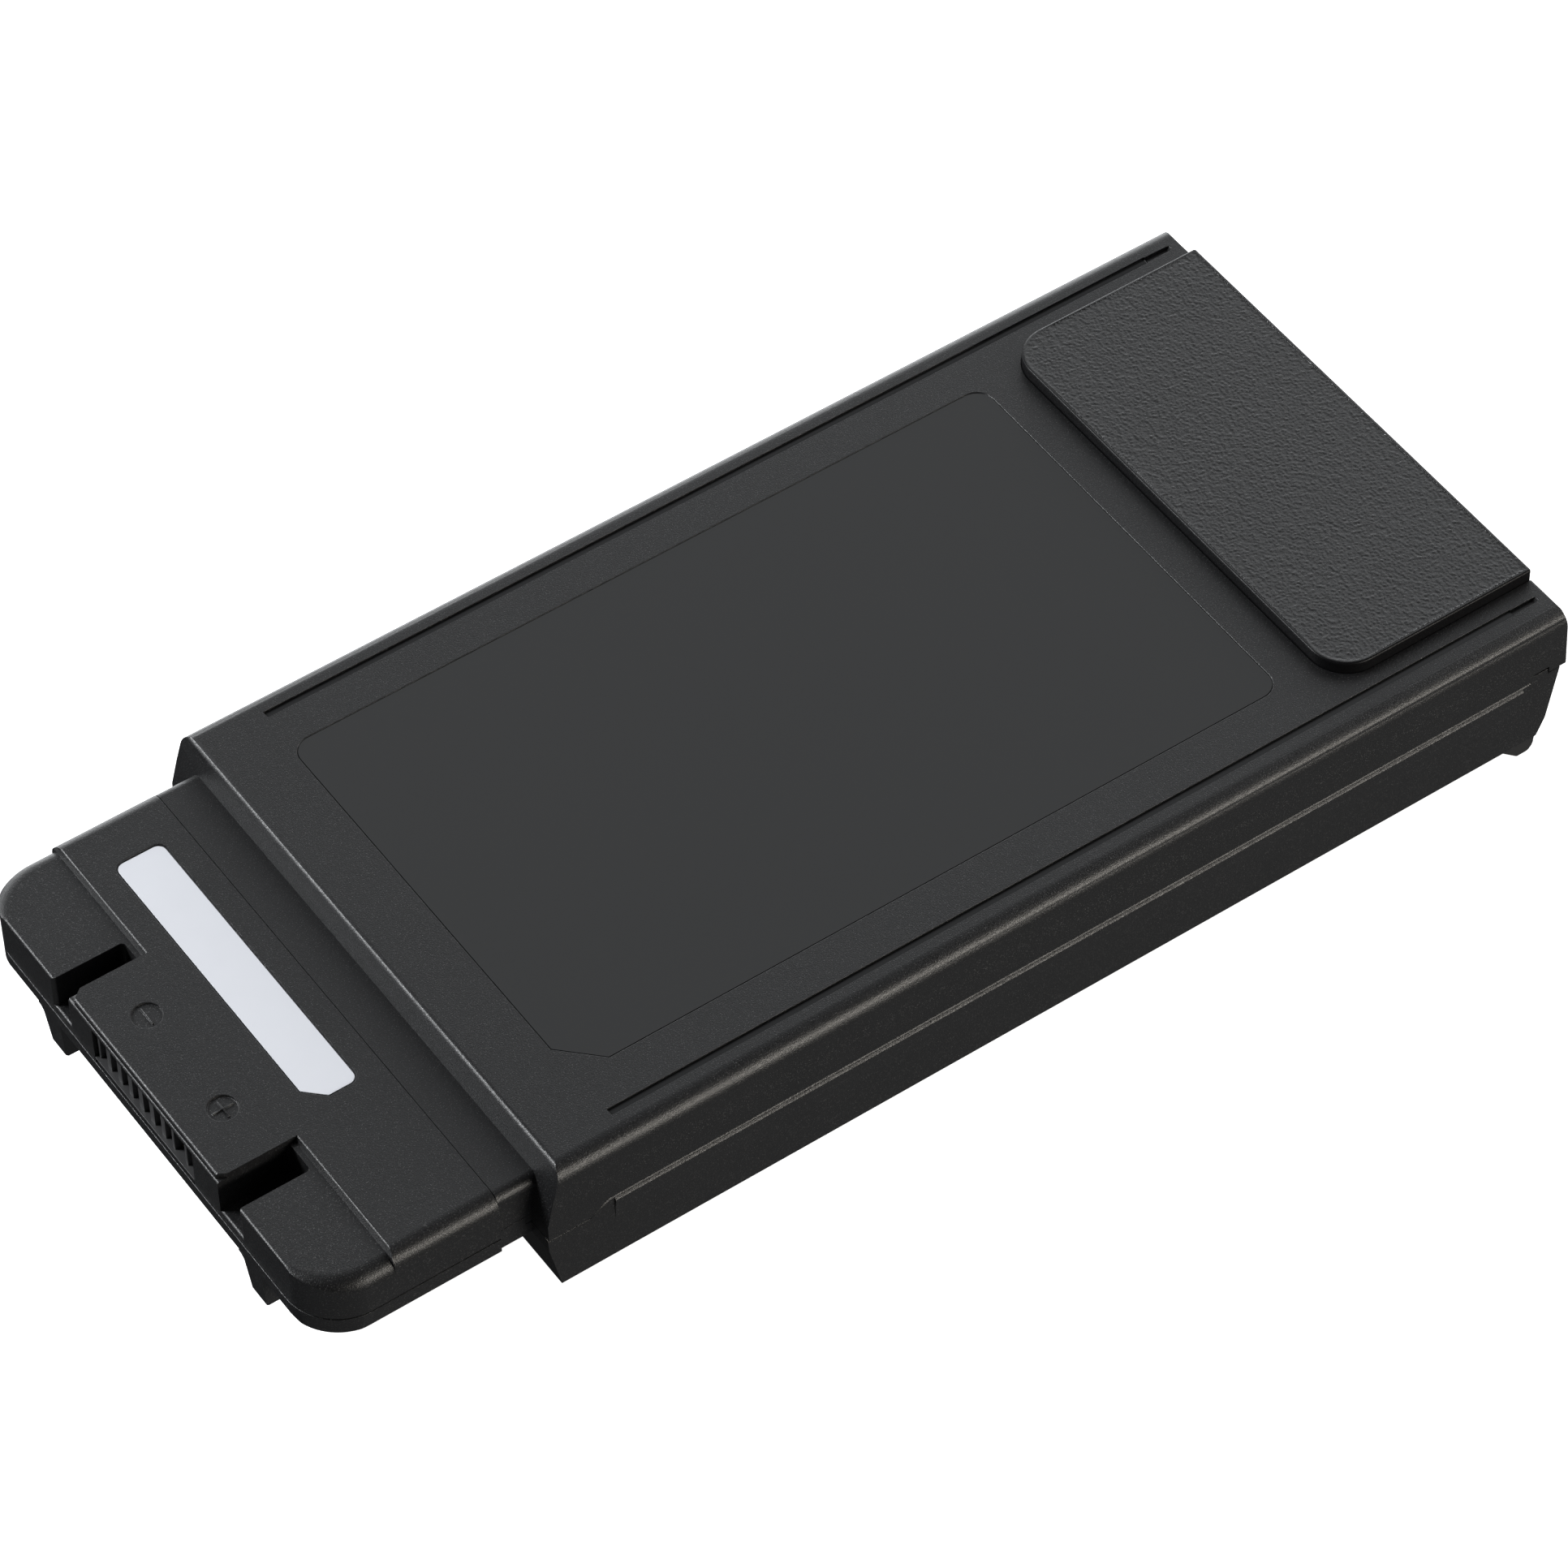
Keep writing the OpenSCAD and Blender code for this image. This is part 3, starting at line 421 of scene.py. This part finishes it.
def leather(bm):
    """Puts a dense pebbled skin in place of the pad's flat top face."""
    noise.seed_set(GRAIN_SEED)
    top = max((f for f in bm.faces if f.normal.z > 0.99), key=lambda f: f.calc_area())
    rim = list(top.verts)
    level = rim[0].co.z
    bm.faces.remove(top)
    ring = [v.co.to_2d() for v in rim]
    sides = list(zip(ring, ring[1:] + ring[:1]))
    low = Vector(min(c[i] for c in ring) for i in (0, 1))
    high = Vector(max(c[i] for c in ring) for i in (0, 1))

    def to_rim(spot):
        best = math.inf
        for a, b in sides:
            along = min(1, max(0, intersect_point_line(spot, a, b)[1]))
            best = min(best, (a + (b - a) * along - spot).length)
        return best

    # a triangular grid; points next to the rim are left out, so that no sliver triangles form
    row_step = GRAIN_STEP * math.sqrt(3) / 2
    reach = {}
    kept = list(ring)
    for row in range(1, int((high.y - low.y) / row_step)):
        for column in range(1, int((high.x - low.x) / GRAIN_STEP)):
            at_x = low.x + (column + 0.5 * (row % 2)) * GRAIN_STEP
            spot = Vector((at_x, low.y + row * row_step))
            gap_x = min(spot.x - low.x, high.x - spot.x)
            gap_y = min(spot.y - low.y, high.y - spot.y)
            gap = min(gap_x, gap_y)
            if max(gap_x, gap_y) < PAD_CORNER or gap < 2 * GRAIN_FADE:
                gap = to_rim(spot)
            if gap > GRAIN_MARGIN:
                reach[len(kept)] = gap
                kept.append(spot)
    edges = [(i, (i + 1) % len(ring)) for i in range(len(ring))]
    spots, _, faces, origin, _, _ = delaunay_2d_cdt(kept, edges, [], CDT_INSIDE, CDT_NEAR)
    made = []
    for spot, came_from in zip(spots, origin):
        first = came_from[0] if came_from else None
        if first is not None and first < len(ring):
            made.append(rim[first])
            continue
        fade = min(1, reach.get(first, 0) / GRAIN_FADE)
        depth = GRAIN_DEPTH * fade * pebble(Vector((spot.x, spot.y, 0)))
        made.append(bm.verts.new((spot.x, spot.y, level - depth)))
    for face in faces:
        bm.faces.new([made[i] for i in face])
    bm.normal_update()


# ---- pieces ------------------------------------------------------------------

shell("upper_cover", "upper_shell",
      ((0.5, 3, body_corner), (0.2, 3, groove_rim), (0.12, 2, anywhere)),
      (CASE, SMOOTH), groove_floor)
shell("lower_cover", "lower_shell", ((0.12, 2, anywhere),))
shell("head_upper", "head_upper_shell", ((0.12, 2, anywhere),))
shell("head_lower", "head_lower_shell", ((0.1, 2, anywhere),))
shell("contact_insulator", "contact_ribs", ((0.12, 2, anywhere),), (RIB,))
shell("rear_feet", "rear_heels", ((0.25, 3, anywhere),), (HEEL,))
shell("front_feet", "front_discs", ((0.3, 3, anywhere),), (RUBBER,))
shell("main_label", "label_panel", (), (LABEL,))
shell("serial_label", "blank_label", ((0.04, 1, anywhere),), (BLANK,))
shell("rating_label", "underside_label", ((0.04, 1, anywhere),), (GREY,))
shell("grip_pad", "grip_cap", ((0.35, 4, anywhere),), (GRIP, SHADED_PAD_WALL), shaded_pad_side, leather)

# ---- stage -------------------------------------------------------------------

HALF = 3.0                         # half the floor's side, in metres
FLOOR_GLOW = 0.95
FLOOR_TONES = ((0.92, 0.92, 0.92), (0.94, 0.94, 0.94))
FLOOR_CLOUD = 300 * MM

floor_mesh = bpy.data.meshes.new("floor")
floor_mesh.from_pydata([(-HALF, -HALF, 0), (HALF, -HALF, 0), (HALF, HALF, 0), (-HALF, HALF, 0)],
                       [], [(0, 1, 2, 3)])
floor = bpy.data.objects.new("floor", floor_mesh)
paint = Nodes("floor", (0.93, 0.93, 0.93), 0.9, 0.1)
paint.join(paint.mix(paint.noise(FLOOR_CLOUD), *FLOOR_TONES), "Base Color")
paint.shader.inputs["Emission Color"].default_value = (1, 1, 1, 1)
paint.shader.inputs["Emission Strength"].default_value = FLOOR_GLOW
floor_mesh.materials.append(paint.mat)
scene.collection.objects.link(floor)
# The object neither mirrors the floor nor is lit by it, so that its sides stay as dark as in the
# photograph. A real table would throw some light back.
floor.visible_glossy = False
floor.visible_diffuse = False

world = bpy.data.worlds.new("room")
world.use_nodes = True
sky = world.node_tree
backdrop = sky.nodes["Background"]
backdrop.inputs["Color"].default_value = (0.96, 0.98, 1.0, 1)
way = sky.nodes.new("ShaderNodeSeparateXYZ")
sky.links.new(sky.nodes.new("ShaderNodeTexCoord").outputs["Generated"], way.inputs[0])


def sky_range(axis, low, high, at_low, at_high):
    """Light that goes from at_low to at_high as the direction's axis goes from low to high."""
    node = sky.nodes.new("ShaderNodeMapRange")
    node.interpolation_type = "SMOOTHSTEP"
    sky.links.new(way.outputs[axis], node.inputs["Value"])
    for key, number in (("From Min", low), ("From Max", high),
                        ("To Min", at_low), ("To Max", at_high)):
        node.inputs[key].default_value = number
    return node.outputs["Result"]


def sky_math(kind, first, second):
    node = sky.nodes.new("ShaderNodeMath")
    node.operation = kind
    sky.links.new(first, node.inputs[0])
    sky.links.new(second, node.inputs[1])
    return node.outputs[0]


# Room light by direction: a broad panel above the far side, stronger over the grip end, with low
# walls behind it; below the horizon, a dim shade and one bright patch on the far side.
over = sky_range("Z", -0.1, 0.35, 0.0, 1.0)
panel = sky_math("MULTIPLY", sky_range("Y", 0.06, 0.46, 0.02, 0.68),
                 sky_range("X", 0.2, 0.5, 0.42, 1.5))
band = sky_math("MULTIPLY", sky_range("Z", -0.35, 0.0, 0.0, 1.0),
                sky_range("Z", 0.15, 0.5, 1.0, 0.0))
walls = sky_math("MULTIPLY", sky_range("Y", 0.45, 0.9, 0.0, 2.2), band)
patch = sky_math("MULTIPLY", sky_range("Y", 0.60, 0.85, 0.0, 2.4),
                 sky_range("X", 0.0, 0.3, 0.0, 1.0))
shade = sky_range("Y", -0.2, 0.3, 0.16, 0.03)
under = sky_range("Z", -0.1, 0.1, 1.0, 0.1)
below = sky_math("MULTIPLY", sky_math("ADD", patch, shade), under)
glow = sky_math("ADD", sky_math("ADD", sky_math("MULTIPLY", panel, over), walls), below)
sky.links.new(glow, backdrop.inputs["Strength"])
scene.world = world


def softbox(name, way_to, size, radiance, color):
    """A rectangular lamp one metre from the origin in direction way_to, facing the origin."""
    lamp = bpy.data.lights.new(name, "AREA")
    lamp.shape, lamp.size, lamp.size_y = "RECTANGLE", size[0], size[1]
    lamp.energy = radiance * math.pi * size[0] * size[1]
    lamp.color = color
    lit = bpy.data.objects.new(name, lamp)
    lit.location = Vector(way_to).normalized()
    lit.rotation_euler = Vector(way_to).to_track_quat("Z", "Y").to_euler()
    scene.collection.objects.link(lit)


softbox("key", (0.36, -0.90, 0.20), (0.55, 0.17), 22.0, (1.0, 0.95, 0.87))
softbox("edge", (-0.64, 0.54, 0.54), (0.32, 0.32), 30.0, (0.96, 0.98, 1.0))
softbox("fill", (0.90, -0.15, 0.50), (0.80, 0.60), 2.4, (1.0, 1.0, 1.0))
